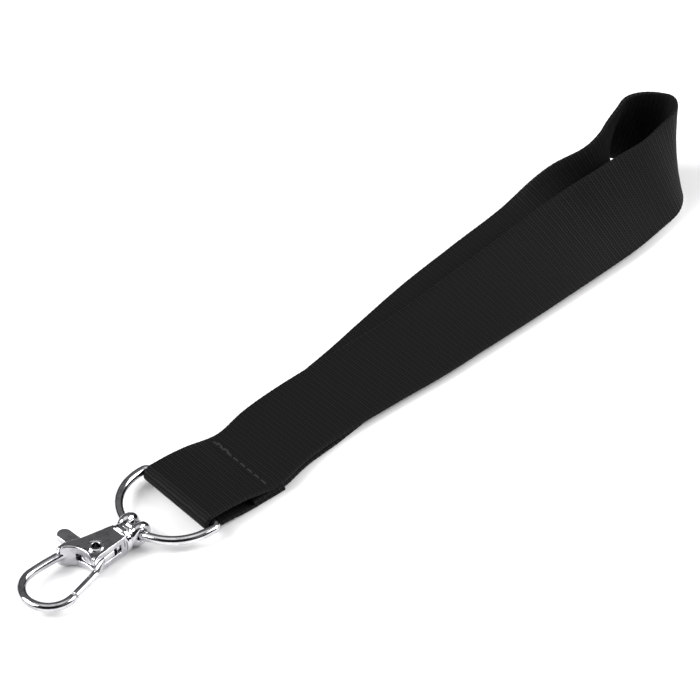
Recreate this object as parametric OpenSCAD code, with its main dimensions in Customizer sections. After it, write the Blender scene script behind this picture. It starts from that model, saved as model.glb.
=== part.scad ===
// Short wrist lanyard: a sewn loop of flat webbing, a D-ring and a swivelling lever snap hook.
// Millimetres, +Z up, lying on z = 0 with the strap's length along X and the hook towards -X.

/* [Strap] */
// Width of the webbing
strap_w = 18.8; // [16:0.2:23]
// Thickness of the webbing
strap_t = 0.9; // [0.75:0.05:1.1]
// Finished length of the loop, from the ring's bar to the far end
strap_l = 145; // [120:1:175]
// Distance of the seam from the ring's bar
seam_x = 14; // [12:0.5:17]
// Length of the folded-under tail beyond the seam
tail_over = 3.5; // [2.5:0.5:5]
// Spread of the open end of the loop across the strap
loop_spread = 20; // [16:0.5:24]

/* [Thread] */
// Diameter of the sewing thread
thread_d = 0.36; // [0.25:0.01:0.44]
// Number of stitches in the seam
stitches = 8; // [6:1:10]
// Distance from the webbing's edge to the seam's ends
seam_inset = 1.3; // [1:0.1:2]

/* [D-ring] */
// Diameter of the ring's wire
wire_d = 1.8; // [1.5:0.02:2.2]
// Length of the two straight legs between the arc and the corners
ring_leg = 0.7; // [0.4:0.1:3]
// Inside radius of the two corners
corner_gap = 0.1; // [0.05:0.05:0.4]
// Play between the webbing's edge and each corner
ring_slack = 0.15; // [0.1:0.05:0.5]
// Turn of the ring and the strap's end about the vertical, in degrees
ring_turn = 4.5; // [0:0.5:7]

/* [Swivel] */
// Play between the eye and the ring's wire
eye_play = 0.35; // [0.25:0.05:0.5]
// Wall of the eye's two claws
eye_wall = 0.9; // [0.8:0.05:1.2]
// Width of the eye along the wire
eye_w = 4.9; // [4.4:0.1:5.5]
// Gap between the two claws
claw_gap = 0.6; // [0.4:0.1:0.8]
// Diameter of the flange on the eye's neck
flange_d = 5.0; // [4.2:0.1:5.6]
// Thickness of the flange
flange_t = 0.7; // [0.5:0.05:0.8]
// Diameter of the shank
shank_d = 2.2; // [1.9:0.1:2.4]
// How far the shank's riveted-over head stands out past the shank
head_rim = 0.6; // [0.4:0.05:0.7]

/* [Hook] */
// Thickness of the hook's body
body_t = 4.3; // [4.1:0.02:5.2]
// Half width of the body at its collar
neck_half = 2.0; // [1.8:0.05:2.4]
// How far the collar's bead stands out past the body
collar_lip = 0.8; // [0.6:0.05:1]
// Length of the neck that the shank passes through
neck_l = 2.3; // [1.9:0.1:2.6]
// Half width of the body where the spine leaves it
root_half = 4.3; // [4:0.1:5]
// Diameter of the hook's bar
bar_d = 1.8; // [1.5:0.05:2.1]
// Centre-line radius of the hook's round end
nose_r = 5.2; // [4.9:0.1:6.2]
// Distance from the gate's pivot to the centre of the round end
opening_l = 11.4; // [11:0.1:13.8]
// Width of the slot that the gate turns in
slot_t = 1.8; // [1.5:0.02:2.2]

/* [Gate] */
// Distance from the swivel eye to the gate's pivot
pivot_x = 9.2; // [8.8:0.1:11]
// Diameter of the gate's bar
gate_d = 1.7; // [1.4:0.05:1.8]
// Width of the thumb tab
tab_w = 2.8; // [2.3:0.1:3.2]
// Reach of the thumb tab from the pivot
tab_reach = 9.3; // [8:0.1:11.5]
// Gap between the closed gate and the nose
gate_gap = 0.45; // [0.4:0.05:0.6]

/* [Rivet] */
// Diameter of the rivet's shank
rivet_d = 2.2; // [1.8:0.02:2.7]
// Wall of the hollow rivet
rivet_wall = 0.3; // [0.2:0.05:0.4]
// How far the rivet's rolled ends stand out past its shank
rivet_rim = 0.45; // [0.3:0.05:0.6]
// Play of the gate on the rivet and of the shank in the collar, on the radius
pivot_play = 0.05; // [0.03:0.01:0.1]

/* [Hidden] */
$fn = 48;
eps = 0.01;

// Overall lay-out along X, centred on the finished length, with the hook a little off the middle line
corner_r = wire_d / 2 + corner_gap;
ring_half = strap_w / 2 + ring_slack + corner_r;
ring_base = ring_leg + corner_r;
nose_x = pivot_x + opening_l;
eye_len = nose_x + nose_r + bar_d / 2;
half_l = (eye_len + ring_half + ring_base + strap_l) / 2;
collar_d = 2 * (neck_half + collar_lip);
eye_out_r = wire_d / 2 + eye_play + eye_wall;
eye_at = [eye_len - half_l, -0.6, max(collar_d, 2 * eye_out_r, body_t) / 2];
axis_z = eye_at[2];

// Directions along and across the strap's sewn end, and the ring's arc centre and bar centre
along = [cos(ring_turn), -sin(ring_turn)];
across = [sin(ring_turn), cos(ring_turn)];
arc_c = [eye_at[0] + ring_half, eye_at[1]];
bar_c = arc_c + ring_base * along;

// Strap: the heights of its layers at the seam, and the fold round the ring's bar
fold_play = 0.15;
fold_r = wire_d / 2 + fold_play + strap_t / 2;
layer = strap_t + 0.08;
tail_z = strap_t / 2 + 0.03;
under_z = tail_z + layer;
top_z = under_z + layer;
tail_l = seam_x + tail_over;
end_x = bar_c[0] + strap_l;

// A station of the strap is [near edge x, y, z, and the direction of the rib across it]
function sewn(d, z) =
    let (p = bar_c + d * along - across * strap_w / 2)
    [p[0], p[1], z, across[0], across[1], 0];
function run(f, out, z, rx, rz) =
    [bar_c[0] + f * strap_l, -strap_w / 2 - out, z, rx, 1, rz];
function turned_up(back, side, z, rx, ry, rz) =
    [end_x - back, side * loop_spread, z, rx, ry, rz];

lower_strand = [
    sewn(seam_x - 4, under_z),
    sewn(seam_x, under_z),
    sewn(tail_l + 0.5, under_z),
    run(0.17, 0.6, tail_z + 0.25, 0.05, 0),
    run(0.24, 0.2, tail_z, 0.03, 0),
    run(0.34, -0.9, tail_z, 0, 0.01),
    run(0.42, -2.2, tail_z, -0.02, 0.03),
    run(0.52, -3.5, tail_z, -0.02, 0.08),
    run(0.62, -3.7, tail_z, -0.02, 0.16),
];
// The lower strand stands up and turns over, rounds the end and comes back as the upper strand
open_end = [
    turned_up(40, -0.30, 0.5, 0, 0.95, 0.30),
    turned_up(31, -0.29, 0.6, -0.12, 0.80, 0.60),
    turned_up(23, -0.21, 0.9, -0.28, 0.48, 0.84),
    turned_up(19.3, -0.11, 1.2, -0.31, 0.27, 0.91),
    turned_up(16.7, 0.04, 1.5, -0.25, 0.10, 0.97),
    turned_up(14.8, 0.22, 1.7, -0.15, -0.04, 0.99),
    turned_up(12.6, 0.41, 2.1, -0.03, -0.18, 0.98),
    turned_up(10.0, 0.54, 3.0, 0.03, -0.28, 0.96),
    turned_up(7.2, 0.42, 2.2, 0.08, -0.18, 0.98),
    turned_up(5.2, 0.24, 1.5, 0.15, -0.09, 0.98),
    turned_up(3.9, 0.04, 1.1, 0.18, -0.03, 0.98),
    turned_up(4.0, -0.16, 1.0, 0.07, 0.03, 0.99),
    turned_up(5.1, -0.34, 1.0, -0.05, 0.15, 0.98),
    turned_up(7.4, -0.49, 1.2, -0.16, 0.30, 0.94),
    turned_up(12.2, -0.62, 1.4, -0.18, 0.44, 0.88),
    turned_up(19.5, -0.67, 1.5, -0.13, 0.57, 0.81),
    turned_up(27, -0.70, 1.5, -0.10, 0.70, 0.71),
    turned_up(35, -0.70, 1.5, -0.02, 0.82, 0.57),
];
upper_strand = [
    run(0.68, 4.3, 1.5, 0.02, 0.42),
    run(0.60, 3.9, 1.5, 0.04, 0.27),
    run(0.50, 3.2, 1.6, 0.05, 0.13),
    run(0.42, 2.6, 1.6, 0.05, 0.07),
    run(0.33, 1.3, 1.6, 0.05, 0.03),
    run(0.24, 0.3, 1.6, 0.05, 0.01),
    run(0.17, 0.6, top_z - 0.45, 0.06, 0),
    sewn(tail_l, top_z),
    sewn(seam_x, top_z),
    sewn(seam_x * 0.62, (top_z + axis_z + fold_r) / 2 + 0.3),
    sewn(seam_x * 0.3, axis_z + fold_r * 0.93),
];
fold_steps = 10;
fold = [for (i = [0:fold_steps]) let (a = 90 + 180 * i / fold_steps)
    sewn(fold_r * cos(a), axis_z + fold_r * sin(a))];
tail = [
    sewn(seam_x * 0.3, (tail_z + axis_z - fold_r) / 2 + 0.15),
    sewn(seam_x * 0.62, tail_z + 0.1),
    sewn(seam_x, tail_z),
    sewn(tail_l, tail_z),
];
stations = [for (q = concat(lower_strand, open_end, upper_strand, fold, tail))
    concat([q[0], q[1], q[2]], unit([q[3], q[4], q[5]]))];

// A smooth curve through the stations, and the four corners of the webbing at each step
function glide(a, b, c, d, t) =
    0.5 * (2 * b + (c - a) * t + (2 * a - 5 * b + 4 * c - d) * t * t
    + (3 * b - a - 3 * c + d) * t * t * t);
function smooth(s, steps) = [
    for (i = [0:len(s) - 2], k = [0:steps - 1])
        glide(s[max(i - 1, 0)], s[i], s[i + 1], s[min(i + 2, len(s) - 1)], k / steps),
    s[len(s) - 1]];
function unit(v) = v / norm(v);
function near(q) = [q[0], q[1], q[2]];
function rib(q) = unit([q[3], q[4], q[5]]) * strap_w;
function mid(q) = near(q) + rib(q) / 2;
strap_steps = 3;
line = smooth(stations, strap_steps);
last = len(line) - 1;
function face(i) =
    let (t = mid(line[min(i + 1, last)]) - mid(line[max(i - 1, 0)]))
    unit(cross(t, rib(line[i]))) * strap_t / 2;
function corners(i) =
    let (n = near(line[i]), r = rib(line[i]), h = face(i))
    [n - h, n + r - h, n + r + h, n + h];

// Tube and ribbon meshes: rings of points joined side by side and closed at both ends
module skin(rings) {
    sides = len(rings[0]);
    count = len(rings);
    polyhedron(
        points = [for (r = rings, p = r) p],
        faces = concat(
            [[for (k = [0:sides - 1]) k]],
            [for (i = [0:count - 2], k = [0:sides - 1])
                let (a = i * sides + k, b = i * sides + (k + 1) % sides)
                each [[a, a + sides, b], [b, a + sides, b + sides]]],
            [[for (k = [sides - 1:-1:0]) (count - 1) * sides + k]]));
}

// Seam: a point on the seam's line at a distance v from the near edge
function seam_at(v, z) =
    let (p = bar_c + seam_x * along + (v - strap_w / 2) * across)
    [p[0], p[1], z];
seam_run = strap_w - 2 * seam_inset;
stitch_l = seam_run / stitches;
thread_sides = 8;
function thread_ring(p, t) =
    let (u = unit(t), a = unit(cross(u, [along[0], along[1], 0])), b = cross(u, a))
    [for (k = [0:thread_sides - 1])
        p + thread_d / 2 * (cos(360 * k / thread_sides) * a + sin(360 * k / thread_sides) * b)];
function thread_rings(p) = [
    for (i = [0:len(p) - 1])
        thread_ring(p[i], p[min(i + 1, len(p) - 1)] - p[max(i - 1, 0)])];
// One thread: it lies on a face of the seam at face_z and dips to mid_z at every stitch hole
function stitch_path(face_z, mid_z) = [
    for (i = [0:stitches - 1])
        let (v = seam_inset + i * stitch_l)
        each [seam_at(v, mid_z),
              seam_at(v + 0.12 * stitch_l, face_z * 0.85 + mid_z * 0.15),
              seam_at(v + 0.3 * stitch_l, face_z),
              seam_at(v + 0.7 * stitch_l, face_z),
              seam_at(v + 0.88 * stitch_l, face_z * 0.85 + mid_z * 0.15)],
    seam_at(seam_inset + seam_run, mid_z)];

// Places a child drawn about the swivel eye, with +X towards the hook's tip
module on_hook() {
    translate(eye_at) mirror([1, 0, 0]) children();
}

// A round bar bent to an arc in the XY plane
module bend(centre, r, d, from, sweep) {
    translate([centre[0], centre[1], 0]) rotate([0, 0, from])
        rotate_extrude(angle = sweep) translate([r, 0]) circle(d = d);
}

// A straight round bar between two points of the XY plane
module bar(a, b, d) {
    v = b - a;
    translate([a[0], a[1], 0]) rotate([0, 0, atan2(v[1], v[0])]) rotate([0, 90, 0])
        cylinder(d = d, h = norm(v));
}

// A cylinder along X from x0 to x1
module turned(d, x0, x1) {
    translate([x0, 0, 0]) rotate([0, 90, 0]) cylinder(d = d, h = x1 - x0);
}

// Swivel stations along the hook's axis
neck_d = 3.0;
flange_x = eye_out_r - 0.4;
collar_gap = 0.12;
collar_x = flange_x + flange_t + collar_gap;
collar_t = 1.0;
slot_x = collar_x + neck_l;
head_play = 0.12;
head_x = slot_x + head_play / 2;
head_t = 0.8;
head_d = shank_d + 2 * head_rim;

// Hook lay-out: round end, spine, and the back of the opening
nose_c = [nose_x, 0];
nose_lip = 12;
mouth_r = nose_r - 0.5;
mouth_c = nose_c + [-4.2, 0.05];
mouth_x = mouth_c[0] - mouth_r;
web_x = mouth_x + 0.5;
spine_r = 42;
spine_c = nose_c + [0, nose_r - spine_r];
spine_sweep = asin((nose_x - web_x - 0.4) / spine_r);

// Gate lay-out: the closed bar runs straight on from the nose's lip
gate_dir = [-cos(nose_lip), sin(nose_lip)];
gate_tip = nose_c - nose_r * [sin(nose_lip), cos(nose_lip)] + gate_gap * gate_dir;
gate_root = gate_tip + (gate_tip[0] - mouth_x - 0.9) / cos(nose_lip) * gate_dir;
spring_r = rivet_d / 2 + 0.65;
hub_r = spring_r + 0.5;
tab_x = pivot_x + 0.9;
slot_w = max(slot_t, gate_d + 0.1);
lever_t = slot_w - 0.4;

module strap_webbing() color([0.05, 0.05, 0.06])
    skin([for (i = [0:last]) corners(i)]);

module needle_thread() color([0.08, 0.08, 0.09])
    skin(thread_rings(stitch_path(top_z + strap_t / 2 + thread_d * 0.35, under_z)));

module bobbin_thread() color([0.08, 0.08, 0.09])
    skin(thread_rings(stitch_path(thread_d * 0.5 + eps, under_z)));

module d_ring() color([0.80, 0.80, 0.82])
    translate([arc_c[0], arc_c[1], axis_z]) rotate([0, 0, -ring_turn]) {
        straight = ring_half - corner_r;
        bend([0, 0], ring_half, wire_d, 90, 180);
        for (s = [-1, 1]) {
            bar([0, s * ring_half], [ring_leg, s * ring_half], wire_d);
            bend([ring_leg, s * straight], corner_r, wire_d, s > 0 ? 0 : -90, 90);
        }
        bar([ring_base, -straight], [ring_base, straight], wire_d);
    }

module swivel_eye() color([0.78, 0.78, 0.80])
    on_hook() {
        bore_d = wire_d + 2 * eye_play;
        difference() {
            union() {
                rotate([90, 0, 0]) cylinder(r = eye_out_r, h = eye_w, center = true);
                turned(neck_d, bore_d / 2 + 0.2, flange_x + eps);
            }
            rotate([90, 0, 0]) cylinder(d = bore_d, h = eye_w + 1, center = true);
            // The slit between the two claws, and the seam where each claw's end stops
            translate([-eye_out_r - 1, -claw_gap / 2, -eye_out_r])
                cube([eye_out_r + 1.6, claw_gap, 2 * eye_out_r]);
            translate([-eye_out_r - 1, -eye_w, -1.1]) cube([eye_out_r + 1, 2 * eye_w, 0.3]);
        }
        turned(flange_d, flange_x, flange_x + flange_t);
        turned(shank_d, flange_x + flange_t - eps, head_x + eps);
        turned(head_d, head_x, head_x + head_t);
    }

// Outline of the two cheeks, seen from the front
module cheek_outline() {
    difference() {
        polygon([
            [collar_x + collar_t / 2, -neck_half], [pivot_x + 1, -neck_half - 0.2],
            [mouth_x + 0.3, -neck_half - 0.8], [mouth_x + 1.6, 0], [mouth_x + 2.8, root_half + 0.8],
            [mouth_x + 0.9, root_half + 0.8], [pivot_x + 0.3, root_half - 0.6],
            [collar_x + collar_t / 2, neck_half]]);
        translate(mouth_c) circle(r = mouth_r);
    }
}

module hook_body() color([0.80, 0.80, 0.82])
    on_hook() {
        wide = 2 * tab_reach;
        difference() {
            union() {
                translate([0, 0, -body_t / 2]) linear_extrude(body_t) cheek_outline();
                turned(collar_d, collar_x, collar_x + collar_t);
                bend(nose_c, nose_r, bar_d, -90 - nose_lip, 180 + nose_lip);
                bend(spine_c, spine_r, bar_d - 0.06, 89.5, spine_sweep + 0.5);
            }
            // The slot is open along the gate's side, and stops at the web on the spine's side
            translate([slot_x, -wide / 2, -slot_w / 2]) cube([web_x - slot_x, wide, slot_w]);
            translate([slot_x, -wide / 2, -slot_w / 2]) cube([gate_root[0] - slot_x, wide / 2, slot_w]);
            turned(shank_d + 2 * pivot_play, 0, slot_x + eps);
            turned(head_d + 2 * head_play, slot_x - eps, head_x + head_t + head_play);
            translate([pivot_x, 0, -body_t]) cylinder(d = rivet_d, h = 2 * body_t);
        }
    }

// Outline of the gate's flat part: hub, thumb tab, and the arm out to the bar
module lever_outline() {
    translate([pivot_x, 0]) circle(r = hub_r);
    polygon([
        [pivot_x - 2.6, -1.4], [pivot_x - 2.6, -hub_r + 0.2], [pivot_x, -hub_r],
        gate_root - [0, gate_d / 2 - 0.1], gate_root + [0.2, gate_d / 2 - 0.1],
        [pivot_x + 1.6, -1.5], [pivot_x - 1.6, -1.5]]);
    translate([tab_x - tab_w / 2, 0]) square([tab_w, tab_reach - tab_w / 2]);
    translate([tab_x, tab_reach - tab_w / 2]) circle(d = tab_w);
}

module gate_lever() color([0.70, 0.70, 0.72])
    on_hook() {
        difference() {
            union() {
                translate([0, 0, -lever_t / 2]) linear_extrude(lever_t) lever_outline();
                bar(gate_root, gate_tip, gate_d);
            }
            translate([pivot_x, 0, -lever_t]) cylinder(d = rivet_d + 2 * pivot_play, h = 2 * lever_t);
            translate([pivot_x, 0, -lever_t / 2 - eps]) cylinder(r = spring_r, h = spring_depth + eps);
        }
    }

// Torsion spring: turns of fine wire round the rivet, inside the pocket of the gate's hub
spring_wire = 0.19;
spring_turns = 2.5;
spring_pitch = 1.05 * spring_wire;
spring_gap = 0.04;
spring_depth = spring_turns * spring_pitch + spring_wire + 2 * spring_gap;
spring_mid_r = (rivet_d / 2 + spring_r) / 2;
spring_sides = 6;
spring_steps = 16;
function coil_at(a) = [
    pivot_x + spring_mid_r * cos(a), spring_mid_r * sin(a),
    -lever_t / 2 + spring_gap + spring_wire / 2 + spring_pitch * a / 360];
function coil_ring(a) = [
    for (k = [0:spring_sides - 1])
        let (b = -360 * k / spring_sides)
        coil_at(a) + spring_wire / 2 * [cos(a) * cos(b), sin(a) * cos(b), sin(b)]];
module gate_spring() color([0.55, 0.55, 0.58])
    on_hook()
        skin([for (i = [0:spring_turns * spring_steps]) coil_ring(360 * i / spring_steps)]);

module pivot_rivet() color([0.85, 0.85, 0.87])
    on_hook()
        translate([pivot_x, 0, 0]) rotate_extrude() {
            lip = 0.3;
            top = body_t / 2;
            bore_r = rivet_d / 2 - rivet_wall;
            rim_r = rivet_d / 2 + rivet_rim;
            polygon([
                [bore_r, -top - lip], [rim_r - 0.1, -top - lip], [rim_r, -top], [rivet_d / 2, -top],
                [rivet_d / 2, top], [rim_r, top], [rim_r - 0.1, top + lip], [bore_r, top + lip]]);
        }

strap_webbing();
needle_thread();
bobbin_thread();
d_ring();
swivel_eye();
hook_body();
gate_lever();
gate_spring();
pivot_rivet();
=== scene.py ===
"""Short wrist lanyard: the looks of its webbing, thread, D-ring, swivel and lever snap hook.

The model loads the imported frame, builds one finished piece for each shown node, gives each a
procedural material, and sets a plain studio round it. Lengths in the classes are millimetres.
"""

import logging
import math
from dataclasses import dataclass, field
from enum import Enum
from typing import Any, Dict, List, Sequence, Tuple

import bpy
from mathutils import Matrix, Vector

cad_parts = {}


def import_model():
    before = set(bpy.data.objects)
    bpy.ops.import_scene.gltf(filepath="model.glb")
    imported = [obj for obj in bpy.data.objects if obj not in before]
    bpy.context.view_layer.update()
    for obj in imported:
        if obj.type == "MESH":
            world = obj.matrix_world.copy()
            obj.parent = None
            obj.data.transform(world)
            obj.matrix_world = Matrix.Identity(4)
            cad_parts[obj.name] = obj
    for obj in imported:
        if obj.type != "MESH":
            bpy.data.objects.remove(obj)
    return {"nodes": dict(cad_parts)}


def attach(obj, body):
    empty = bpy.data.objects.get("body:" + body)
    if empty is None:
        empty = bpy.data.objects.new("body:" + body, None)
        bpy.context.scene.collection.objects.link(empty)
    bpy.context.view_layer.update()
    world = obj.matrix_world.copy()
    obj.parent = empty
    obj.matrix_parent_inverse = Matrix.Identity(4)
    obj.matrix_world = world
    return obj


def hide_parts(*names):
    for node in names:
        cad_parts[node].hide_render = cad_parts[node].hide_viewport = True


frame: Dict[str, Any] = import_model()

LOG = logging.getLogger("lanyard")
MM = 0.001

Socket = Any
Station = Tuple[Vector, Vector]


class Body(Enum):
    """The bodies of the frame that a piece can ride on."""

    STRAP = "strap"
    RING = "d_ring"
    SWIVEL = "swivel_eye"
    HOOK = "hook"
    GATE = "gate"


class Side(Enum):
    """The two faces of the hook, as the sign of the height from its mid-plane."""

    UPPER = 1
    LOWER = -1


# ---------------------------------------------------------------- sizes shared by the pieces


@dataclass(frozen=True)
class Layout:
    """The sizes that place the pieces, the same as the solid model's, in millimetres."""

    strap_w: float = 18.8
    strap_t: float = 0.9
    strap_l: float = 145.0
    seam_x: float = 14.0
    tail_over: float = 3.5
    loop_spread: float = 20.0
    wire_d: float = 1.8
    ring_leg: float = 0.7
    corner_gap: float = 0.1
    ring_slack: float = 0.15
    ring_turn: float = 4.5
    eye_y: float = -0.6
    axis_z: float = 2.8
    pivot_x: float = 9.2
    opening_l: float = 11.4
    nose_r: float = 5.2
    bar_d: float = 1.8
    body_t: float = 4.3

    @property
    def corner_r(self) -> float:
        """Centre-line radius of the D-ring's two corners."""
        return self.wire_d / 2 + self.corner_gap

    @property
    def ring_half(self) -> float:
        """Centre-line radius of the D-ring's arc."""
        return self.strap_w / 2 + self.ring_slack + self.corner_r

    @property
    def ring_base(self) -> float:
        """Distance from the arc's centre to the D-ring's straight bar."""
        return self.ring_leg + self.corner_r

    @property
    def eye_x(self) -> float:
        """Place of the swivel eye's centre along X."""
        eye_len = self.pivot_x + self.opening_l + self.nose_r + self.bar_d / 2
        return eye_len - (eye_len + self.ring_half + self.ring_base + self.strap_l) / 2

    @property
    def along(self) -> Vector:
        """Direction along the strap at its sewn end."""
        a = math.radians(self.ring_turn)
        return Vector((math.cos(a), -math.sin(a), 0))

    @property
    def across(self) -> Vector:
        """Direction across the strap at its sewn end."""
        a = math.radians(self.ring_turn)
        return Vector((math.sin(a), math.cos(a), 0))

    @property
    def arc_centre(self) -> Vector:
        """Centre of the D-ring's arc."""
        return Vector((self.eye_x + self.ring_half, self.eye_y, self.axis_z))

    @property
    def bar_centre(self) -> Vector:
        """Middle of the D-ring's straight bar."""
        return self.arc_centre + self.ring_base * self.along

    def on_hook(self, u: float, v: float, w: float = 0.0) -> Vector:
        """Turns a point drawn from the swivel eye into the frame.

        Args:
            u: Distance from the eye towards the hook's tip.
            v: Distance across the hook.
            w: Height from the hook's mid-plane.

        Returns:
            The point in the frame, in millimetres.
        """
        return Vector((self.eye_x - u, self.eye_y + v, self.axis_z + w))


LAYOUT = Layout()


# ---------------------------------------------------------------- modelling helpers


def pick_only(obj: bpy.types.Object) -> None:
    """Leaves one object selected and active, in object mode.

    Args:
        obj: The object to select.
    """
    if bpy.context.object and bpy.context.object.mode != "OBJECT":
        bpy.ops.object.mode_set(mode="OBJECT")
    bpy.ops.object.select_all(action="DESELECT")
    obj.hide_set(False)
    obj.select_set(True)
    bpy.context.view_layer.objects.active = obj


def start_piece() -> None:
    """Deselects everything before a primitive is added."""
    if bpy.context.object and bpy.context.object.mode != "OBJECT":
        bpy.ops.object.mode_set(mode="OBJECT")
    bpy.ops.object.select_all(action="DESELECT")


def settle(obj: bpy.types.Object, name: str) -> bpy.types.Object:
    """Names a piece and moves its place into its mesh.

    Args:
        obj: The new piece.
        name: The piece's name.

    Returns:
        The same piece.
    """
    pick_only(obj)
    bpy.ops.object.transform_apply(location=True, rotation=True, scale=True)
    obj.name = name
    obj.data.name = name
    return obj


def finish_with(obj: bpy.types.Object, kind: str, **sizes: Any) -> None:
    """Adds one modifier to a piece and applies it.

    Args:
        obj: The piece.
        kind: The modifier's type.
        sizes: The modifier's settings by name.
    """
    pick_only(obj)
    modifier = obj.modifiers.new(kind.title(), kind)
    for key, value in sizes.items():
        setattr(modifier, key, value)
    bpy.ops.object.modifier_apply(modifier=modifier.name)


def from_node(node: str, name: str) -> bpy.types.Object:
    """Copies a node's mesh into a new piece, in millimetres, with its points merged.

    Args:
        node: The node to start from.
        name: The new piece's name.

    Returns:
        The new piece, still in millimetres.
    """
    source = frame["nodes"][node]
    obj = bpy.data.objects.new(name, source.data.copy())
    bpy.context.scene.collection.objects.link(obj)
    obj.data.materials.clear()
    obj.data.transform(Matrix.Scale(1 / MM, 4))
    pick_only(obj)
    bpy.ops.object.mode_set(mode="EDIT")
    bpy.ops.mesh.select_all(action="SELECT")
    bpy.ops.mesh.remove_doubles(threshold=0.002)
    bpy.ops.object.mode_set(mode="OBJECT")
    return obj


def join_into(main: bpy.types.Object, others: Sequence[bpy.types.Object]) -> None:
    """Joins shapes into one piece.

    Args:
        main: The piece that stays.
        others: The shapes that are joined into it.
    """
    start_piece()
    for other in others:
        other.select_set(True)
    main.select_set(True)
    bpy.context.view_layer.objects.active = main
    bpy.ops.object.join()


def melt(obj: bpy.types.Object, voxel: float, passes: int) -> None:
    """Makes one closed skin of a piece drawn in millimetres, with its edges softened.

    Args:
        obj: The piece.
        voxel: Grain of the new skin.
        passes: Rounds of smoothing.
    """
    finish_with(obj, "REMESH", mode="VOXEL", voxel_size=voxel, adaptivity=0.0)
    finish_with(obj, "SMOOTH", factor=0.5, iterations=passes)
    pick_only(obj)
    bpy.ops.object.shade_smooth()
    obj.data.transform(Matrix.Scale(MM, 4))


def ring_of(centre: Vector, radius: float, wire: float, turn: Tuple[float, float, float],
            flat: float = 1.0) -> bpy.types.Object:
    """Models a rounded ring, as of a rolled rim or a bead.

    Args:
        centre: Its centre, in millimetres.
        radius: Centre-line radius.
        wire: Radius of its section.
        turn: Its rotation about X, Y and Z.
        flat: Height of its section against its width.

    Returns:
        The ring, in millimetres.
    """
    start_piece()
    bpy.ops.mesh.primitive_torus_add(major_radius=radius, minor_radius=wire, major_segments=72,
                                     minor_segments=18, location=(0, 0, 0))
    ring = bpy.context.object
    bpy.ops.object.mode_set(mode="EDIT")
    bpy.ops.mesh.select_all(action="SELECT")
    bpy.ops.transform.resize(value=(1, 1, flat), center_override=(0, 0, 0))
    bpy.ops.object.mode_set(mode="OBJECT")
    ring.rotation_euler = turn
    ring.location = centre
    return settle(ring, "ring")


class Rod:
    """A round rod that is drawn out and bent from one end loop to the next."""

    def __init__(self, start: Vector, heading: Vector, radius: float, sides: int = 28) -> None:
        """Starts the rod.

        Args:
            start: Centre of its first loop.
            heading: Direction that it sets out in.
            radius: Its radius.
            sides: Points round it.
        """
        start_piece()
        turn = heading.to_track_quat("Z", "Y").to_euler()
        bpy.ops.mesh.primitive_circle_add(vertices=sides, radius=radius, location=start,
                                          rotation=turn)
        self.obj: bpy.types.Object = settle(bpy.context.object, "rod")
        bpy.ops.object.mode_set(mode="EDIT")
        bpy.ops.mesh.select_all(action="SELECT")

    def run(self, way: Vector, steps: int = 1) -> None:
        """Draws the rod out straight.

        Args:
            way: How far, and in which direction.
            steps: Loops along it.
        """
        for _ in range(steps):
            bpy.ops.mesh.extrude_region_move(TRANSFORM_OT_translate={"value": way / steps})

    def bend(self, centre: Vector, angle: float, steps: int) -> None:
        """Bends the rod about an upright axis.

        Args:
            centre: Centre of the bend.
            angle: Its angle in radians, anticlockwise from above.
            steps: Loops round it.
        """
        bpy.ops.mesh.spin(steps=steps, angle=-angle, center=centre, axis=(0, 0, 1))

    def close(self) -> bpy.types.Object:
        """Welds the last loop to the first and turns the faces outwards.

        Returns:
            The finished rod, in metres.
        """
        bpy.ops.mesh.select_all(action="SELECT")
        bpy.ops.mesh.remove_doubles(threshold=0.01)
        bpy.ops.mesh.normals_make_consistent(inside=False)
        bpy.ops.object.mode_set(mode="OBJECT")
        bpy.ops.object.shade_smooth()
        self.obj.data.transform(Matrix.Scale(MM, 4))
        return self.obj


# ---------------------------------------------------------------- finishes


@dataclass
class NodeDesk:
    """Places nodes in one tree and links them."""

    tree: Any

    def add(self, kind: str, **inputs: Any) -> Any:
        """Adds a node and sets or links its inputs.

        Args:
            kind: The node's type.
            inputs: Values or sockets by input name, with spaces written as underscores.

        Returns:
            The new node.
        """
        node = self.tree.nodes.new(kind)
        for key, value in inputs.items():
            self.feed(node.inputs[key.replace("_", " ")], value)
        return node

    def feed(self, target: Socket, value: Any) -> None:
        """Sets an input to a value, or links a socket to it.

        Args:
            target: The input.
            value: A plain value or an output socket.
        """
        if isinstance(value, bpy.types.NodeSocket):
            self.tree.links.new(value, target)
        else:
            target.default_value = value

    def sums(self, how: str, *terms: Any) -> Socket:
        """Adds a Math node.

        Args:
            how: Its operation.
            terms: Values or sockets for its inputs.

        Returns:
            Its output socket.
        """
        node = self.tree.nodes.new("ShaderNodeMath")
        node.operation = how
        for target, value in zip(node.inputs, terms):
            self.feed(target, value)
        return node.outputs[0]

    def between(self, value: Socket, low: float, high: float, to_low: float,
                to_high: float) -> Socket:
        """Maps one span of values to another, smoothly.

        Args:
            value: The value to map.
            low: Start of its span.
            high: End of its span.
            to_low: What the start becomes.
            to_high: What the end becomes.

        Returns:
            The mapped value.
        """
        node = self.add("ShaderNodeMapRange", Value=value, From_Min=low, From_Max=high,
                        To_Min=to_low, To_Max=to_high)
        node.interpolation_type = "SMOOTHSTEP"
        return node.outputs["Result"]

    def blend(self, share: Any, first: Any, second: Any) -> Socket:
        """Mixes two colours.

        Args:
            share: Share of the second colour.
            first: The first colour.
            second: The second colour.

        Returns:
            The mixed colour.
        """
        node = self.tree.nodes.new("ShaderNodeMix")
        node.data_type = "RGBA"
        self.feed(node.inputs["Factor"], share)
        self.feed(node.inputs["A"], first)
        self.feed(node.inputs["B"], second)
        return node.outputs[2]


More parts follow.
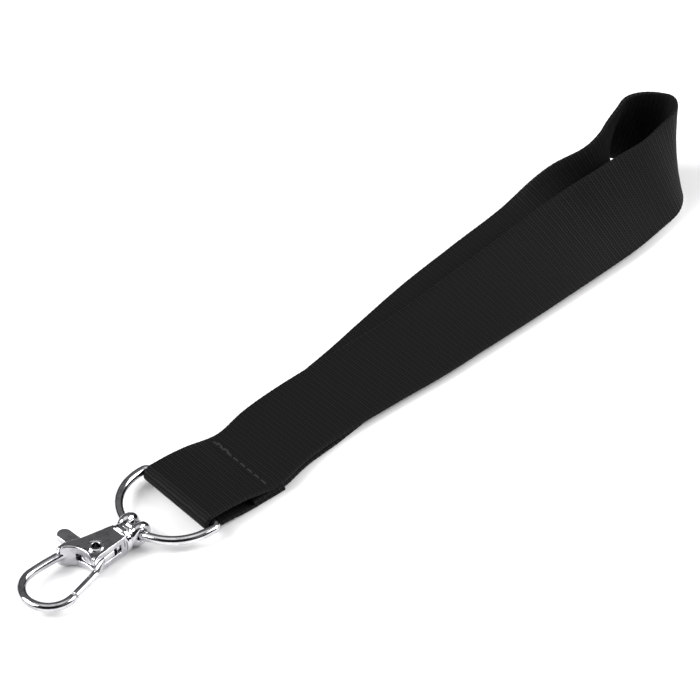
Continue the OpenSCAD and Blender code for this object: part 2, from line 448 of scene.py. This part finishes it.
def new_group(name: str, takes: Dict[str, float], gives: Sequence[str]) -> Tuple[Any, Any, Any]:
    """Makes an empty node group with number inputs and outputs.

    Args:
        name: The group's name.
        takes: Its inputs with their usual values.
        gives: Its outputs.

    Returns:
        The desk on the group's tree, its input node and its output node.
    """
    tree = bpy.data.node_groups.new(name, "ShaderNodeTree")
    for key, value in takes.items():
        tree.interface.new_socket(name=key, in_out="INPUT",
                                  socket_type="NodeSocketFloat").default_value = value
    for key in gives:
        tree.interface.new_socket(name=key, in_out="OUTPUT", socket_type="NodeSocketFloat")
    return (NodeDesk(tree), tree.nodes.new("NodeGroupInput"), tree.nodes.new("NodeGroupOutput"))


def ribbed_weave_group() -> Any:
    """Makes the weave of the webbing: ribs across it, each of two picks, and fine warp ends, with
    painted shade in its low places.

    Returns:
        The node group.
    """
    desk, takes, gives = new_group("RibbedWeave", {"Rib": 1.16, "Warp": 0.62},
                                   ["Height", "Shade"])
    uv = desk.add("ShaderNodeUVMap")
    uv.uv_map = "Cloth"
    parts = desk.add("ShaderNodeSeparateXYZ", Vector=uv.outputs["UV"])
    full = 2 * math.pi
    drift = desk.add("ShaderNodeTexNoise", Vector=uv.outputs["UV"], Scale=0.35, Detail=2.0)
    wander = desk.sums("MULTIPLY", desk.sums("SUBTRACT", drift.outputs["Fac"], 0.5), 0.5)
    along = desk.sums("ADD", parts.outputs["Y"], wander)
    turns = desk.sums("DIVIDE", along, takes.outputs["Rib"])
    rib = desk.sums("COSINE", desk.sums("MULTIPLY", turns, full))
    pick = desk.sums("COSINE", desk.sums("MULTIPLY", turns, 2 * full))
    ends = desk.sums("DIVIDE", parts.outputs["X"], takes.outputs["Warp"])
    step = desk.sums("MULTIPLY", desk.sums("FLOOR", desk.sums("MULTIPLY", turns, 2.0)), 0.5)
    warp = desk.sums("COSINE", desk.sums("MULTIPLY", desk.sums("ADD", ends, step), full))
    fuzz = desk.add("ShaderNodeTexNoise", Vector=uv.outputs["UV"], Scale=5.0, Detail=3.0,
                    Roughness=0.7)
    hair = desk.sums("SUBTRACT", fuzz.outputs["Fac"], 0.5)
    height = desk.sums("ADD", desk.sums("MULTIPLY", rib, 0.25), desk.sums("MULTIPLY", pick, 0.6))
    height = desk.sums("ADD", height, desk.sums("MULTIPLY", warp, 0.35))
    desk.feed(gives.inputs["Height"],
              desk.sums("ADD", height, desk.sums("MULTIPLY", hair, 0.9)))
    # Shade output: painted shade, darker where the weave lies low (the gaps between ribs and
    # picks), plus random fuzz.
    shade = desk.between(height, -0.9, 0.9, 0.0, 1.0)
    desk.feed(gives.inputs["Shade"],
              desk.sums("ADD", shade, desk.sums("MULTIPLY", hair, 0.5)))
    return desk.tree


def plating_wear_group() -> Any:
    """Makes the small faults of plated metal: clouding, fine marks and rubbed edges.

    Returns:
        The node group.
    """
    desk, takes, gives = new_group("PlatingWear", {"Cloud": 400.0, "Pit": 2500.0},
                                   ["Cloud", "Pit", "Edge"])
    place = desk.add("ShaderNodeTexCoord").outputs["Object"]
    cloud = desk.add("ShaderNodeTexNoise", Vector=place, Scale=takes.outputs["Cloud"],
                     Detail=4.0, Roughness=0.6)
    pit = desk.add("ShaderNodeTexNoise", Vector=place, Scale=takes.outputs["Pit"], Detail=2.0)
    shape = desk.add("ShaderNodeNewGeometry")
    desk.feed(gives.inputs["Cloud"], cloud.outputs["Fac"])
    desk.feed(gives.inputs["Pit"], pit.outputs["Fac"])
    desk.feed(gives.inputs["Edge"],
              desk.between(shape.outputs["Pointiness"], 0.51, 0.60, 0.0, 1.0))
    return desk.tree


def start_material(name: str) -> Tuple[Any, NodeDesk, Any]:
    """Makes a material with an empty Principled shader.

    Args:
        name: The material's name.

    Returns:
        The material, the desk on its tree, and its Principled node.
    """
    material = bpy.data.materials.new(name)
    material.use_nodes = True
    desk = NodeDesk(material.node_tree)
    return material, desk, material.node_tree.nodes["Principled BSDF"]


@dataclass(frozen=True)
class WebbingFinish:
    """Black ribbed polyester webbing with a slight satin sheen, and painted shade between its
    ribs.
    """

    name: str = "Black ribbed webbing"
    # Painted shade colour for the gaps between the ribs; the crown colour is the webbing's own
    # black on the raised ribs.
    painted_gap_shade: Tuple[float, float, float, float] = (0.0015, 0.0015, 0.0017, 1)
    crown: Tuple[float, float, float, float] = (0.0068, 0.0068, 0.0072, 1)
    relief: float = 0.04

    def make(self) -> Any:
        """Makes the material."""
        material, desk, shader = start_material(self.name)
        weave = desk.add("ShaderNodeGroup")
        weave.node_tree = ribbed_weave_group()
        desk.feed(weave.inputs["Rib"], 1.16)
        desk.feed(weave.inputs["Warp"], 0.62)
        # Base colour carries painted shade: the gap colour in the weave's low places, the crown
        # colour on its raised ribs.
        desk.feed(shader.inputs["Base Color"],
                  desk.blend(weave.outputs["Shade"], self.painted_gap_shade, self.crown))
        desk.feed(shader.inputs["Roughness"],
                  desk.between(weave.outputs["Shade"], 0.0, 1.0, 0.85, 0.55))
        bump = desk.add("ShaderNodeBump", Height=weave.outputs["Height"], Strength=0.7,
                        Distance=self.relief * MM)
        desk.feed(shader.inputs["Normal"], bump.outputs["Normal"])
        shader.inputs["Specular IOR Level"].default_value = 0.12
        shader.inputs["Sheen Weight"].default_value = 0.01
        shader.inputs["Sheen Roughness"].default_value = 0.4
        return material


@dataclass(frozen=True)
class ThreadFinish:
    """Black spun sewing thread with its twist, with painted shade in its grooves and a painted
    highlight on its ridges.
    """

    name: str = "Black sewing thread"
    # dark is painted shade in the twist's grooves; light is a painted highlight on its ridges.
    dark: Tuple[float, float, float, float] = (0.006, 0.006, 0.007, 1)
    light: Tuple[float, float, float, float] = (0.018, 0.018, 0.019, 1)

    def make(self) -> Any:
        """Makes the material."""
        material, desk, shader = start_material(self.name)
        place = desk.add("ShaderNodeTexCoord").outputs["Object"]
        twist = desk.add("ShaderNodeTexWave", Vector=place, Scale=1100.0, Distortion=1.0,
                         Detail=2.0)
        twist.bands_direction = "DIAGONAL"
        # Painted light and shade: the colour darkens in the grooves of the twist and lightens on
        # its ridges, in step with the bump.
        desk.feed(shader.inputs["Base Color"],
                  desk.blend(twist.outputs["Fac"], self.dark, self.light))
        bump = desk.add("ShaderNodeBump", Height=twist.outputs["Fac"], Strength=0.6,
                        Distance=0.05 * MM)
        desk.feed(shader.inputs["Normal"], bump.outputs["Normal"])
        shader.inputs["Roughness"].default_value = 0.6
        shader.inputs["Specular IOR Level"].default_value = 0.4
        return material


@dataclass(frozen=True)
class NickelFinish:
    """Bright nickel plate over wire, a casting or a stamping."""

    name: str
    clean: Tuple[float, float, float, float] = (0.68, 0.68, 0.70, 1)
    dull: Tuple[float, float, float, float] = (0.42, 0.42, 0.44, 1)
    smooth: float = 0.05
    rough: float = 0.16
    pits: float = 0.004

    def make(self, wear: Any) -> Any:
        """Makes the material.

        Args:
            wear: The node group of the plating's small faults.

        Returns:
            The material.
        """
        material, desk, shader = start_material(self.name)
        marks = desk.add("ShaderNodeGroup")
        marks.node_tree = wear
        marks.inputs["Cloud"].default_value = 400.0
        marks.inputs["Pit"].default_value = 2500.0
        cloud = desk.between(marks.outputs["Cloud"], 0.42, 0.72, 0.0, 1.0)
        base = desk.blend(cloud, self.clean, self.dull)
        desk.feed(shader.inputs["Base Color"], desk.blend(marks.outputs["Edge"], base, self.clean))
        desk.feed(shader.inputs["Roughness"],
                  desk.between(marks.outputs["Cloud"], 0.35, 0.75, self.smooth, self.rough))
        bump = desk.add("ShaderNodeBump", Height=marks.outputs["Pit"], Strength=0.35,
                        Distance=self.pits * MM)
        desk.feed(shader.inputs["Normal"], bump.outputs["Normal"])
        shader.inputs["Metallic"].default_value = 1.0
        return material


# ---------------------------------------------------------------- the strap


@dataclass
class WebbingStrap:
    """The one length of webbing: seam, lower strand, open end, upper strand, fold and tail."""

    lay: Layout = LAYOUT
    thick: float = 0.84
    rib: float = 1.16
    rib_height: float = 0.012
    pick_height: float = 0.018
    rows_per_rib: int = 8
    edge_r: float = 0.32
    face_points: int = 13
    dense: int = 24
    fold_play: float = 0.15
    fold_steps: int = 10
    cut_length: float = field(default=0.0, init=False)

    def sewn(self, d: float, z: float) -> Station:
        """A station in the sewn end, d from the ring's bar, at height z."""
        near = self.lay.bar_centre + d * self.lay.along - self.lay.across * self.lay.strap_w / 2
        return Vector((near.x, near.y, z)), self.lay.across.copy()

    def run(self, share: float, out: float, z: float, rx: float, rz: float) -> Station:
        """A station in a flat strand.

        Args:
            share: Its distance along the loop, as a share of the loop's length.
            out: How far its near edge lies outside the middle run's edge.
            z: Height of its near edge.
            rx: Lean of its rib along the strap.
            rz: Rise of its rib.

        Returns:
            The near edge and the direction across the webbing.
        """
        near = Vector((self.lay.bar_centre.x + share * self.lay.strap_l,
                       -self.lay.strap_w / 2 - out, z))
        return near, Vector((rx, 1, rz)).normalized()

    def turned_up(self, back: float, side: float, z: float, rx: float, ry: float,
                  rz: float) -> Station:
        """A station where the webbing stands on its edge round the open end.

        Args:
            back: Distance back from the loop's far end.
            side: Place across the loop, as a share of its spread.
            z: Height of the lower edge.
            rx: Part of the rib along the strap.
            ry: Part of the rib across the strap.
            rz: Part of the rib upwards.

        Returns:
            The near edge and the direction across the webbing.
        """
        near = Vector((self.lay.bar_centre.x + self.lay.strap_l - back,
                       side * self.lay.loop_spread, z))
        return near, Vector((rx, ry, rz)).normalized()

    def stations(self) -> List[Station]:
        """Lists the stations from the first end to the tail's end."""
        lay = self.lay
        fold_r = lay.wire_d / 2 + self.fold_play + lay.strap_t / 2
        layer = lay.strap_t + 0.08
        tail_z = lay.strap_t / 2 + 0.03
        under_z, top_z = tail_z + layer, tail_z + 2 * layer
        tail_l = lay.seam_x + lay.tail_over
        sewn, run, up, seam = self.sewn, self.run, self.turned_up, lay.seam_x
        lower = [sewn(seam - 4, under_z), sewn(seam, under_z), sewn(tail_l + 0.5, under_z),
                 run(0.17, 0.6, tail_z + 0.25, 0.05, 0), run(0.24, 0.2, tail_z, 0.03, 0),
                 run(0.34, -0.9, tail_z, 0, 0.01), run(0.42, -2.2, tail_z, -0.02, 0.03),
                 run(0.52, -3.5, tail_z, -0.02, 0.08), run(0.62, -3.7, tail_z, -0.02, 0.16)]
        end = [up(40, -0.30, 0.5, 0, 0.95, 0.30), up(31, -0.29, 0.6, -0.12, 0.80, 0.60),
               up(23, -0.21, 0.9, -0.28, 0.48, 0.84), up(19.3, -0.11, 1.2, -0.31, 0.27, 0.91),
               up(16.7, 0.04, 1.5, -0.25, 0.10, 0.97), up(14.8, 0.22, 1.7, -0.15, -0.04, 0.99),
               up(12.6, 0.41, 2.1, -0.03, -0.18, 0.98), up(10.0, 0.54, 3.0, 0.03, -0.28, 0.96),
               up(7.2, 0.42, 2.2, 0.08, -0.18, 0.98), up(5.2, 0.24, 1.5, 0.15, -0.09, 0.98),
               up(3.9, 0.04, 1.1, 0.18, -0.03, 0.98), up(4.0, -0.16, 1.0, 0.07, 0.03, 0.99),
               up(5.1, -0.34, 1.0, -0.05, 0.15, 0.98), up(7.4, -0.49, 1.2, -0.16, 0.30, 0.94),
               up(12.2, -0.62, 1.4, -0.18, 0.44, 0.88), up(19.5, -0.67, 1.5, -0.13, 0.57, 0.81),
               up(27, -0.70, 1.5, -0.10, 0.70, 0.71), up(35, -0.70, 1.5, -0.02, 0.82, 0.57)]
        upper = [run(0.68, 4.3, 1.5, 0.02, 0.42), run(0.60, 3.9, 1.5, 0.04, 0.27),
                 run(0.50, 3.2, 1.6, 0.05, 0.13), run(0.42, 2.6, 1.6, 0.05, 0.07),
                 run(0.33, 1.3, 1.6, 0.05, 0.03), run(0.24, 0.3, 1.6, 0.05, 0.01),
                 run(0.17, 0.6, top_z - 0.45, 0.06, 0), sewn(tail_l, top_z), sewn(seam, top_z),
                 sewn(seam * 0.62, (top_z + lay.axis_z + fold_r) / 2 + 0.3),
                 sewn(seam * 0.3, lay.axis_z + fold_r * 0.93)]
        fold = []
        for i in range(self.fold_steps + 1):
            a = math.radians(90 + 180 * i / self.fold_steps)
            fold.append(sewn(fold_r * math.cos(a), lay.axis_z + fold_r * math.sin(a)))
        tail = [sewn(seam * 0.3, (tail_z + lay.axis_z - fold_r) / 2 + 0.15),
                sewn(seam * 0.62, tail_z + 0.1), sewn(seam, tail_z), sewn(tail_l, tail_z)]
        return lower + end + upper + fold + tail

    @staticmethod
    def glide(a: Vector, b: Vector, c: Vector, d: Vector, t: float) -> Vector:
        """Gives a point of the smooth curve from b to c, at share t."""
        return 0.5 * (2 * b + (c - a) * t + (2 * a - 5 * b + 4 * c - d) * t * t
                      + (3 * b - a - 3 * c + d) * t * t * t)

    def rows(self) -> List[Tuple[float, Vector, Vector]]:
        """Lays even rows along the strap.

        Returns:
            For each row its distance along the strap, its middle, and its rib direction.
        """
        marks = self.stations()
        line: List[Station] = []
        for i in range(len(marks) - 1):
            q = [marks[max(i - 1, 0)], marks[i], marks[i + 1], marks[min(i + 2, len(marks) - 1)]]
            for k in range(self.dense):
                t = k / self.dense
                near = self.glide(*[m[0] for m in q], t)
                rib = self.glide(*[m[1] for m in q], t).normalized()
                line.append((near + rib * self.lay.strap_w / 2, rib))
        line.append((marks[-1][0] + marks[-1][1] * self.lay.strap_w / 2, marks[-1][1]))
        far = [0.0]
        for (a, _), (b, _) in zip(line, line[1:]):
            far.append(far[-1] + (b - a).length)
        self.cut_length = far[-1]
        step = self.rib / self.rows_per_rib
        count = int(far[-1] / step)
        rows, i = [], 0
        for n in range(count + 1):
            s = far[-1] * n / count
            while i < len(far) - 2 and far[i + 1] < s:
                i += 1
            t = (s - far[i]) / max(far[i + 1] - far[i], 1e-9)
            middle = line[i][0].lerp(line[i + 1][0], t)
            rows.append((s, middle, line[i][1].lerp(line[i + 1][1], t).normalized()))
        return rows

    def section(self) -> List[Tuple[float, float, float]]:
        """Draws the webbing's section as (place across, height share, face share) points."""
        half, r = self.lay.strap_w / 2, self.edge_r
        flat = [(-half + r + (2 * half - 2 * r) * j / (self.face_points - 1))
                for j in range(self.face_points)]
        top = [(v, 1.0, 1.0) for v in flat]
        right = [(half - r * (1 - math.sin(a)), math.cos(a), 0.4)
                 for a in (math.radians(x) for x in (30, 60, 90, 120, 150))]
        return top + right + [(-v, -h, f) for v, h, f in top] + [(-v, -h, f) for v, h, f in right]

    def build(self) -> bpy.types.Object:
        """Builds the webbing as one closed ribbon with real ribs.

        Returns:
            The strap's object.
        """
        rows, section = self.rows(), self.section()
        count, sides = len(rows), len(section)
        points: List[Vector] = []
        for i, (s, middle, rib) in enumerate(rows):
            way = rows[min(i + 3, count - 1)][1] - rows[max(i - 3, 0)][1]
            up = way.cross(rib).normalized()
            ridge = (self.rib_height * math.cos(2 * math.pi * s / self.rib)
                     + self.pick_height * math.cos(4 * math.pi * s / self.rib))
            scallop = 0.035 * math.cos(2 * math.pi * s / self.rib)
            for v, high, face in section:
                h = high * self.thick / 2 + math.copysign(ridge * face, high if high else 1)
                wide = v * (1 + scallop / self.lay.strap_w)
                points.append((middle + rib * wide + up * h) * MM)
        faces: List[Sequence[int]] = []
        for i in range(count - 1):
            for k in range(sides):
                a, b = i * sides + k, i * sides + (k + 1) % sides
                faces.append((a, b, b + sides, a + sides))
        faces.append(tuple(range(sides - 1, -1, -1)))
        faces.append(tuple(range((count - 1) * sides, count * sides)))
        mesh = bpy.data.meshes.new("webbing")
        mesh.from_pydata(points, [], faces)
        cloth = mesh.uv_layers.new(name="Cloth")
        for polygon in mesh.polygons:
            for loop in polygon.loop_indices:
                row, k = divmod(mesh.loops[loop].vertex_index, sides)
                cloth.data[loop].uv = (section[k][0], rows[row][0])
        obj = bpy.data.objects.new("webbing", mesh)
        bpy.context.scene.collection.objects.link(obj)
        pick_only(obj)
        bpy.ops.object.mode_set(mode="EDIT")
        bpy.ops.mesh.select_all(action="SELECT")
        bpy.ops.mesh.normals_make_consistent(inside=False)
        bpy.ops.object.mode_set(mode="OBJECT")
        bpy.ops.object.shade_smooth_by_angle(angle=math.radians(60))
        return obj

    def dress(self, obj: bpy.types.Object) -> None:
        """Gives the strap its finish and its body.

        Args:
            obj: The strap's object.
        """
        obj.data.materials.append(WebbingFinish().make())
        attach(obj, Body.STRAP.value)
        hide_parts("strap_webbing")


@dataclass
class Seam:
    """The seam's two threads, with the tight back-tack at the far end of the upper one."""

    lay: Layout = LAYOUT
    tack_share: float = 0.7
    tack_shift: float = 0.33

    def thread(self, node: str, name: str) -> bpy.types.Object:
        """Rounds one thread.

        Args:
            node: The thread's node.
            name: The piece's name.

        Returns:
            The thread, in millimetres.
        """
        obj = from_node(node, name)
        finish_with(obj, "SUBSURF", levels=1, render_levels=1)
        return obj

    def back_tack(self) -> bpy.types.Object:
        """Models the back-tack: the far stitches sewn over again, a thread's width beside them.

        Returns:
            The tack, in millimetres.
        """
        tack = self.thread("needle_thread", "tack")
        keep = self.lay.bar_centre + self.lay.seam_x * self.lay.along
        keep += self.lay.across * self.lay.strap_w / 2 * (2 * self.tack_share - 1)
        pick_only(tack)
        bpy.ops.object.mode_set(mode="EDIT")
        bpy.ops.mesh.select_all(action="SELECT")
        bpy.ops.mesh.bisect(plane_co=keep, plane_no=self.lay.across, use_fill=True,
                            clear_inner=True)
        bpy.ops.mesh.select_all(action="SELECT")
        shift = self.tack_shift * self.lay.along - 0.9 * self.lay.across + Vector((0, 0, 0.06))
        bpy.ops.transform.translate(value=shift)
        bpy.ops.object.mode_set(mode="OBJECT")
        return tack

    def build(self) -> List[bpy.types.Object]:
        """Builds both threads and dresses them.

        Returns:
            The upper and the lower thread.
        """
        material = ThreadFinish().make()
        upper = self.thread("needle_thread", "upper_thread")
        join_into(upper, [self.back_tack()])
        lower = self.thread("bobbin_thread", "lower_thread")
        for obj, node in ((upper, "needle_thread"), (lower, "bobbin_thread")):
            obj.data.transform(Matrix.Scale(MM, 4))
            pick_only(obj)
            bpy.ops.object.shade_smooth()
            obj.data.materials.append(material)
            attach(obj, Body.STRAP.value)
            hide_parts(node)
        return [upper, lower]


# ---------------------------------------------------------------- the metal pieces


@dataclass
class MetalPiece:
    """A plated piece: what it stands for, what it rides on, and its finish."""

    node: str
    name: str
    body: Body
    slot: str
    finish: NickelFinish
    voxel: float = 0.11
    passes: int = 6
    lay: Layout = LAYOUT

    def extras(self) -> List[bpy.types.Object]:
        """Models the rims and beads that are joined into the piece, in millimetres."""
        return []

    def build(self) -> bpy.types.Object:
        """Builds the piece as one closed skin with softened edges.

        Returns:
            The piece's object.
        """
        obj = from_node(self.node, self.name)
        added = self.extras()
        if added:
            join_into(obj, added)
        melt(obj, self.voxel, self.passes)
        return obj

    def dress(self, obj: bpy.types.Object, wear: Any) -> None:
        """Gives the piece its finish and its body.

        Args:
            obj: The piece's object.
            wear: The node group of the plating's small faults.
        """
        obj.data.materials.clear()
        obj.data.materials.append(self.finish.make(wear))
        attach(obj, self.body.value)
        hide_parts(self.node)


@dataclass
class DRing(MetalPiece):
    """The D-ring of round wire, drawn out and bent as it is made."""

    def build(self) -> bpy.types.Object:
        """Bends the ring from the middle of its straight bar, round and back again."""
        lay = self.lay
        straight = lay.ring_half - lay.corner_r
        near, leg = -lay.across, -lay.along * lay.ring_leg
        rod = Rod(lay.bar_centre, near, lay.wire_d / 2)
        rod.run(near * straight, 12)
        corner = lay.bar_centre + near * straight - lay.along * lay.corner_r
        rod.bend(corner, -math.pi / 2, 12)
        rod.run(leg)
        rod.bend(lay.arc_centre, -math.pi, 72)
        rod.run(-leg)
        corner = lay.bar_centre - near * straight - lay.along * lay.corner_r
        rod.bend(corner, -math.pi / 2, 12)
        rod.run(near * straight, 12)
        return rod.close()


@dataclass
class SwivelEye(MetalPiece):
    """The swivel: two claws closed round the wire, a flange and a headed shank."""

    bead_x: float = 2.3
    far_claw: float = 1.65
    near_claw: float = -1.6
    far_ring: Tuple[float, float, float] = (1.85, 0.82, 1.25)
    near_ring: Tuple[float, float, float] = (1.75, 0.78, 1.2)
    flange_ring: Tuple[float, float, float] = (1.95, 0.42, 0.8)

    def extras(self) -> List[bpy.types.Object]:
        """Models the two rounded claws round the wire and the flange behind them."""
        level, upright = (math.pi / 2, 0, 0), (0, math.pi / 2, 0)
        places = ((self.lay.on_hook(0, self.far_claw), self.far_ring, level),
                  (self.lay.on_hook(0, self.near_claw), self.near_ring, level),
                  (self.lay.on_hook(self.bead_x, 0), self.flange_ring, upright))
        return [ring_of(centre, radius, wire, turn, flat)
                for centre, (radius, wire, flat), turn in places]


@dataclass
class HookBody(MetalPiece):
    """The cast hook, with a raised rim round its mouth and a rounded bead at its collar."""

    mouth_r: float = 4.7
    mouth_u: float = 16.4
    mouth_v: float = 0.05
    rim_r: float = 0.34
    rim_end: float = 14.3
    rim_far: float = 4.2
    rim_near: float = -2.2
    bead_x: float = 3.35
    bead_r: float = 2.45
    bead_wire: float = 0.4

    def mouth_rim(self, side: Side) -> bpy.types.Object:
        """Models the raised rim along the back of the mouth, on one face.

        Args:
            side: Which face.

        Returns:
            The rim, in millimetres.
        """
        centre = self.lay.on_hook(self.mouth_u, self.mouth_v, side.value * self.lay.body_t / 2)
        rim = ring_of(centre, self.mouth_r + self.rim_r, self.rim_r, (0, 0, 0))
        cuts = ((self.lay.on_hook(self.rim_end, 0), Vector((-1, 0, 0))),
                (self.lay.on_hook(0, self.rim_far), Vector((0, 1, 0))),
                (self.lay.on_hook(0, self.rim_near), Vector((0, -1, 0))))
        bpy.ops.object.mode_set(mode="EDIT")
        for place, outwards in cuts:
            bpy.ops.mesh.select_all(action="SELECT")
            bpy.ops.mesh.bisect(plane_co=place, plane_no=outwards, use_fill=True,
                                clear_outer=True)
        bpy.ops.object.mode_set(mode="OBJECT")
        return rim

    def extras(self) -> List[bpy.types.Object]:
        """Models the mouth's two rims and the collar's bead."""
        place = self.lay.on_hook(self.bead_x, 0)
        bead = ring_of(place, self.bead_r, self.bead_wire, (0, math.pi / 2, 0))
        return [self.mouth_rim(side) for side in Side] + [bead]


@dataclass
class GateLever(MetalPiece):
    """The gate: thumb tab, hub and round bar."""


@dataclass
class HollowRivet(MetalPiece):
    """The hollow rivet with its two ends rolled over."""

    roll_r: float = 1.15
    roll_wire: float = 0.3
    roll_lift: float = 0.1

    def extras(self) -> List[bpy.types.Object]:
        """Models the two rolled ends."""
        high = self.lay.body_t / 2 + self.roll_lift
        return [ring_of(self.lay.on_hook(self.lay.pivot_x, 0, side.value * high), self.roll_r,
                        self.roll_wire, (0, 0, 0)) for side in Side]


def dress_spring(wear: Any) -> None:
    """Gives the small spring in the gate's hub its finish.

    Args:
        wear: The node group of the plating's small faults.
    """
    spring = frame["nodes"]["gate_spring"]
    finish = NickelFinish("Spring wire", clean=(0.5, 0.5, 0.52, 1), dull=(0.3, 0.3, 0.32, 1),
                          smooth=0.2, rough=0.4)
    spring.data.materials.clear()
    spring.data.materials.append(finish.make(wear))


# ---------------------------------------------------------------- the studio


@dataclass
class Studio:
    """A plain pale floor, soft light all round, and the camera."""

    aim: Vector = field(default_factory=lambda: Vector((-9.3, -2.4, 0)))
    azimuth: float = -46.0
    elevation: float = 42.0
    distance: float = 560.0
    lens: float = 146.6
    shift_y: float = 0.0714

    @property
    def back(self) -> Vector:
        """Direction from the object to the camera."""
        a, e = math.radians(self.azimuth), math.radians(self.elevation)
        return Vector((math.sin(a) * math.cos(e), -math.cos(a) * math.cos(e), math.sin(e)))

    def camera(self) -> None:
        """Sets the camera."""
        data = bpy.data.cameras.new("camera")
        data.sensor_width, data.lens, data.shift_y = 36.0, self.lens, self.shift_y
        data.clip_start, data.clip_end = 0.01, 20.0
        obj = bpy.data.objects.new("camera", data)
        bpy.context.scene.collection.objects.link(obj)
        obj.location = (self.aim + self.back * self.distance) * MM
        obj.rotation_euler = (-self.back).to_track_quat("-Z", "Y").to_euler()
        bpy.context.scene.camera = obj

    def floor(self) -> None:
        """Lays the floor."""
        start_piece()
        bpy.ops.mesh.primitive_plane_add(size=6, location=(0, 0, 0))
        obj = settle(bpy.context.object, "floor")
        material, desk, shader = start_material("Pale floor")
        place = desk.add("ShaderNodeTexCoord").outputs["Object"]
        cloud = desk.add("ShaderNodeTexNoise", Vector=place, Scale=3.0)
        desk.feed(shader.inputs["Base Color"],
                  desk.blend(cloud.outputs["Fac"], (0.93, 0.93, 0.93, 1), (0.95, 0.95, 0.95, 1)))
        shader.inputs["Roughness"].default_value = 0.9
        shader.inputs["Specular IOR Level"].default_value = 0.1
        obj.data.materials.append(material)

    def sky(self) -> None:
        """Lights the room from all round, with a darker patch where the maker stands."""
        world = bpy.data.worlds.new("studio")
        bpy.context.scene.world = world
        world.use_nodes = True
        desk = NodeDesk(world.node_tree)
        way = desk.add("ShaderNodeTexCoord").outputs["Generated"]
        dark = desk.add("ShaderNodeVectorMath", Vector=way)
        dark.operation = "DOT_PRODUCT"
        dark.inputs[1].default_value = self.back
        patch = desk.between(dark.outputs["Value"], 0.80, 0.94, 1.0, 0.12)
        parts = desk.add("ShaderNodeSeparateXYZ", Vector=way)
        rim = desk.between(parts.outputs["Z"], 0.22, 0.50, 0.012, 0.17)
        cap = desk.between(parts.outputs["Z"], 0.86, 0.95, 0.0, 0.9)
        power = desk.sums("ADD", desk.sums("MULTIPLY", patch, rim), cap)
        desk.feed(world.node_tree.nodes["Background"].inputs["Strength"], power)
        world.node_tree.nodes["Background"].inputs["Color"].default_value = (1, 1, 1, 1)

    def lamp(self, name: str, place: Vector, power: float, size: float) -> None:
        """Hangs one soft box that looks at the object.

        Args:
            name: Its name.
            place: Where it hangs, in metres.
            power: Its power in watts.
            size: Length of its side, in metres.
        """
        data = bpy.data.lights.new(name, "AREA")
        data.energy, data.size = power, size
        obj = bpy.data.objects.new(name, data)
        bpy.context.scene.collection.objects.link(obj)
        obj.location = place
        obj.rotation_euler = (-place).to_track_quat("-Z", "Y").to_euler()

    def build(self) -> None:
        """Builds the whole studio."""
        self.camera()
        self.floor()
        self.sky()
        self.lamp("left_box", Vector((-1.0, 0.6, 0.9)), 32.0, 1.0)
        self.lamp("right_box", Vector((0.9, -0.8, 0.9)), 24.0, 1.0)
        bpy.context.scene.view_settings.view_transform = "Standard"


def metal_pieces() -> List[MetalPiece]:
    """Lists the plated pieces with their finishes."""
    return [
        DRing("d_ring", "d_ring_wire", Body.RING, "plated_wire", NickelFinish("Nickel on wire")),
        SwivelEye("swivel_eye", "swivel", Body.SWIVEL, "plated_swivel",
                  NickelFinish("Nickel on the swivel", rough=0.22), voxel=0.09),
        HookBody("hook_body", "cast_hook", Body.HOOK, "plated_casting",
                 NickelFinish("Nickel on the casting", clean=(0.56, 0.56, 0.58, 1),
                              dull=(0.34, 0.34, 0.36, 1), rough=0.2)),
        GateLever("gate_lever", "lever", Body.GATE, "plated_gate",
                  NickelFinish("Nickel on the gate", rough=0.25), voxel=0.09),
        HollowRivet("pivot_rivet", "rivet", Body.HOOK, "plated_rivet",
                    NickelFinish("Nickel on the rivet"), voxel=0.06),
    ]


def report_piece(obj: bpy.types.Object) -> None:
    """Logs one piece's count of faces.

    Args:
        obj: The piece.
    """
    obj.data.calc_loop_triangles()
    LOG.info("%s: %d triangles", obj.name, len(obj.data.loop_triangles))


def main() -> None:
    """Builds the lanyard's pieces in order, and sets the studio."""
    logging.basicConfig(level=logging.INFO)
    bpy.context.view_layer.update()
    wear = plating_wear_group()
    for piece in metal_pieces():
        obj = piece.build()
        piece.dress(obj, wear)
        report_piece(obj)
    strap = WebbingStrap()
    webbing = strap.build()
    strap.dress(webbing)
    report_piece(webbing)
    LOG.info("webbing cut to %.1f mm", strap.cut_length)
    for obj in Seam().build():
        report_piece(obj)
    dress_spring(wear)
    Studio().build()
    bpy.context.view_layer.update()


if __name__ == "__main__":
    main()
